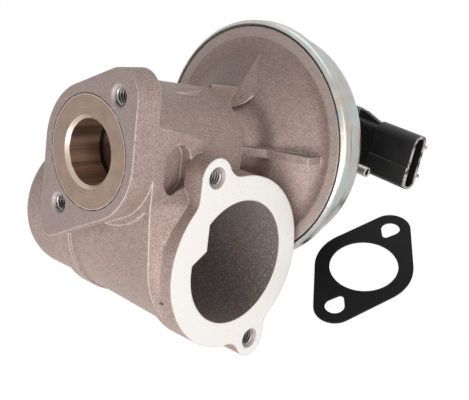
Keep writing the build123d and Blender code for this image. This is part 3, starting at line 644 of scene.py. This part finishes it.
# painted highlight round the connector's mouth
mouth_highlight = (0.50, 0.45, 0.44, 1)
mouth_highlight_width = 0.0002
mouth_highlight_fade = 0.0004
connector_mouth = Vector(mounts["sensor_connector"]["pos_m"])
connector_axis = Vector(mounts["sensor_connector"]["axis"])
contact_brown = (0.66, 0.56, 0.38, 1)
contact_tinned = (0.80, 0.76, 0.66, 1)
board_dark = (0.03, 0.10, 0.05, 1)
board_light = (0.07, 0.19, 0.10, 1)
acetal_shade = (0.72, 0.70, 0.64, 1)
acetal_white = (0.84, 0.82, 0.77, 1)


def moulded_finish():
    """Black moulding with a fine spark-eroded texture, a painted highlight on its edges and a pale, ragged
    painted highlight round the connector's mouth.
    """
    finish = Finish("black_moulding", Specular_IOR_Level=0.35)
    edge = finish.round_edges(radius=0.0005)
    flow = finish.noise(size=0.006, detail=4)
    skin = finish.mix(flow, moulding_dark, moulding_light)
    # painted highlight on the edges
    skin = finish.mix(finish.times(edge, moulding_highlight_share), skin, moulding_highlight)
    # painted highlight: a pale, ragged rim round the connector's mouth
    at_mouth = finish.maths("ABSOLUTE", finish.along(connector_mouth, connector_axis))
    at_mouth = finish.under(at_mouth, mouth_highlight_width, mouth_highlight_fade)
    ragged = finish.between(finish.noise(size=0.0022, detail=3), low=0.38, high=0.56)
    finish.colour(finish.mix(finish.times(at_mouth, ragged), skin, mouth_highlight))
    finish.roughness(flow, 0.36, 0.51)
    finish.bump(finish.noise(size=0.0004, detail=2), depth=0.00006, strength=0.5)
    return finish


moulding = moulded_finish()
contact = grained_finish(
    "tinned_bronze",
    grain=0.002,
    detail=3,
    colours=(contact_brown, contact_tinned),
    roughness=(0.22, 0.42),
    relief=(0.00003, 0.4),
    metallic=1.0,
)
board = grained_finish(
    "glass_board",
    grain=0.0009,
    detail=1,
    colours=(board_dark, board_light),
    roughness=(0.35, 0.45),
    relief=(0.00004, 0.4),
)
acetal = grained_finish(
    "natural_acetal",
    grain=0.003,
    detail=3,
    colours=(acetal_shade, acetal_white),
    roughness=(0.35, 0.50),
    relief=(0.00005, 0.3),
)
dress("sensor_housing", moulding)
dress("sensor_lid", moulding)
dress("sensor_o_ring", rubber)
dress("sensor_screws", bright_steel)
dress("terminals", contact)
dress("wiper", contact)
dress("track_board", board)
dress("sensor_plunger", acetal)


# --- Gasket -----------------------------------------------------------------------------------------
# Stamped from thin sheet steel for the inlet flange and coated matte black, with a faint dusty bloom.
# It comes loose with the valve and lies flat beside it.
coating_black = (0.005, 0.005, 0.005, 1)
coating_bloom = (0.014, 0.014, 0.014, 1)


def gasket_finish():
    """Matte black coating."""
    finish = Finish("gasket_coating", Specular_IOR_Level=0.15)
    grain = finish.noise(size=0.0005, detail=2)
    finish.colour(finish.mix(finish.noise(size=0.007, detail=4), coating_black, coating_bloom))
    finish.roughness(grain, 0.50, 0.75)
    finish.bump(grain, depth=0.00006, strength=0.5)
    return finish


dress("gasket", gasket_finish())


# --- Bench, lamps and camera ------------------------------------------------------------------------
# White seamless bench; one large soft lamp to the camera's right, a low one to its left and a faint
# strip above and behind the valve. The camera looks down on the two flanges.
bench_half = 3.0
bench_white = (0.86, 0.86, 0.86, 1)
bench_roughness = 0.8
bench_glow = 0.88
bench_level = 1.09
room_white = (1, 1, 1, 1)
room_light = 0.17
lamp_aim = Vector((0, 0, 0.06))


def seen_directly(nodes, links):
    """1 for the camera and for what shows in metal or glass, 0 for light on its way to the object."""
    path = nodes.new("ShaderNodeLightPath")
    seen = path.outputs["Is Camera Ray"]
    for ray in ("Is Glossy Ray", "Is Transmission Ray"):
        either = nodes.new("ShaderNodeMath")
        either.operation = "ADD"
        either.use_clamp = True
        links.new(seen, either.inputs[0])
        links.new(path.outputs[ray], either.inputs[1])
        seen = either.outputs[0]
    return seen


def bench_material():
    """White bench that shows white to the eye and to reflections, and still takes soft shadows."""
    material = bpy.data.materials.new("bench_white")
    material.use_nodes = True
    nodes, links = material.node_tree.nodes, material.node_tree.links
    shader = nodes["Principled BSDF"]
    shader.inputs["Base Color"].default_value = bench_white
    shader.inputs["Roughness"].default_value = bench_roughness
    share = nodes.new("ShaderNodeMath")
    share.operation = "MULTIPLY"
    share.inputs[1].default_value = bench_glow
    links.new(seen_directly(nodes, links), share.inputs[0])
    glow = nodes.new("ShaderNodeEmission")
    glow.inputs["Strength"].default_value = bench_level
    blend = nodes.new("ShaderNodeMixShader")
    links.new(share.outputs[0], blend.inputs[0])
    links.new(shader.outputs[0], blend.inputs[1])
    links.new(glow.outputs[0], blend.inputs[2])
    links.new(blend.outputs[0], nodes["Material Output"].inputs["Surface"])
    return material


def light_room(world):
    """Dim white room that shows full white to the eye and to reflections."""
    world.use_nodes = True
    nodes, links = world.node_tree.nodes, world.node_tree.links
    level = nodes.new("ShaderNodeMath")
    level.operation = "MULTIPLY_ADD"
    level.inputs[1].default_value = 1 - room_light
    level.inputs[2].default_value = room_light
    links.new(seen_directly(nodes, links), level.inputs[0])
    background = nodes["Background"]
    background.inputs["Color"].default_value = room_white
    links.new(level.outputs[0], background.inputs["Strength"])


def soft_lamp(name, place, size, power):
    """Rectangular area lamp aimed at the middle of the valve."""
    light = bpy.data.lights.new(name, "AREA")
    light.shape = "RECTANGLE"
    light.size, light.size_y = size
    light.energy = power
    lamp = bpy.data.objects.new(name, light)
    bpy.context.scene.collection.objects.link(lamp)
    lamp.location = place
    lamp.rotation_euler = (lamp_aim - lamp.location).to_track_quat("-Z", "Y").to_euler()


bench_mesh = bpy.data.meshes.new("bench")
corners = [(bench_half * x, bench_half * y, 0) for x, y in ((-1, -1), (1, -1), (1, 1), (-1, 1))]
bench_mesh.from_pydata(corners, [], [(0, 1, 2, 3)])
bench_mesh.materials.append(bench_material())
bench = bpy.data.objects.new("bench", bench_mesh)
bpy.context.scene.collection.objects.link(bench)

bpy.context.scene.world = bpy.context.scene.world or bpy.data.worlds.new("studio")
light_room(bpy.context.scene.world)

soft_lamp("key_lamp", place=(1.00, -0.15, 0.30), size=(1.30, 0.80), power=7.0)
soft_lamp("front_lamp", place=(0.15, -0.50, 0.02), size=(0.80, 0.30), power=4.0)
soft_lamp("back_lamp", place=(-0.10, 0.60, 0.75), size=(0.90, 0.40), power=1.5)

# The camera's place and axes are given along the valve's outlet, side and stem axes.
camera_from_rim = (0.2489, 0.0676, 0.2866)
camera_right = (0.7252, 0.1201, -0.6780)
camera_up = (-0.2533, 0.9621, -0.1005)
sensor_width = 36
focal_pixels = 858
image_width = 469
nearest_seen = 0.01
valve_axes = Matrix((outlet_axis, side_axis, stem_axis)).transposed()
camera = bpy.data.cameras.new("camera")
camera.sensor_width = sensor_width
camera.lens = sensor_width * focal_pixels / image_width
camera.clip_start = nearest_seen
eye = bpy.data.objects.new("camera", camera)
bpy.context.scene.collection.objects.link(eye)
right = valve_axes @ Vector(camera_right).normalized()
back = right.cross(valve_axes @ Vector(camera_up)).normalized()
turn = Matrix((right, back.cross(right), back)).transposed().to_4x4()
eye.matrix_world = Matrix.Translation(rim_centre + valve_axes @ Vector(camera_from_rim)) @ turn
bpy.context.scene.camera = eye
bpy.context.scene.view_settings.view_transform = "Standard"
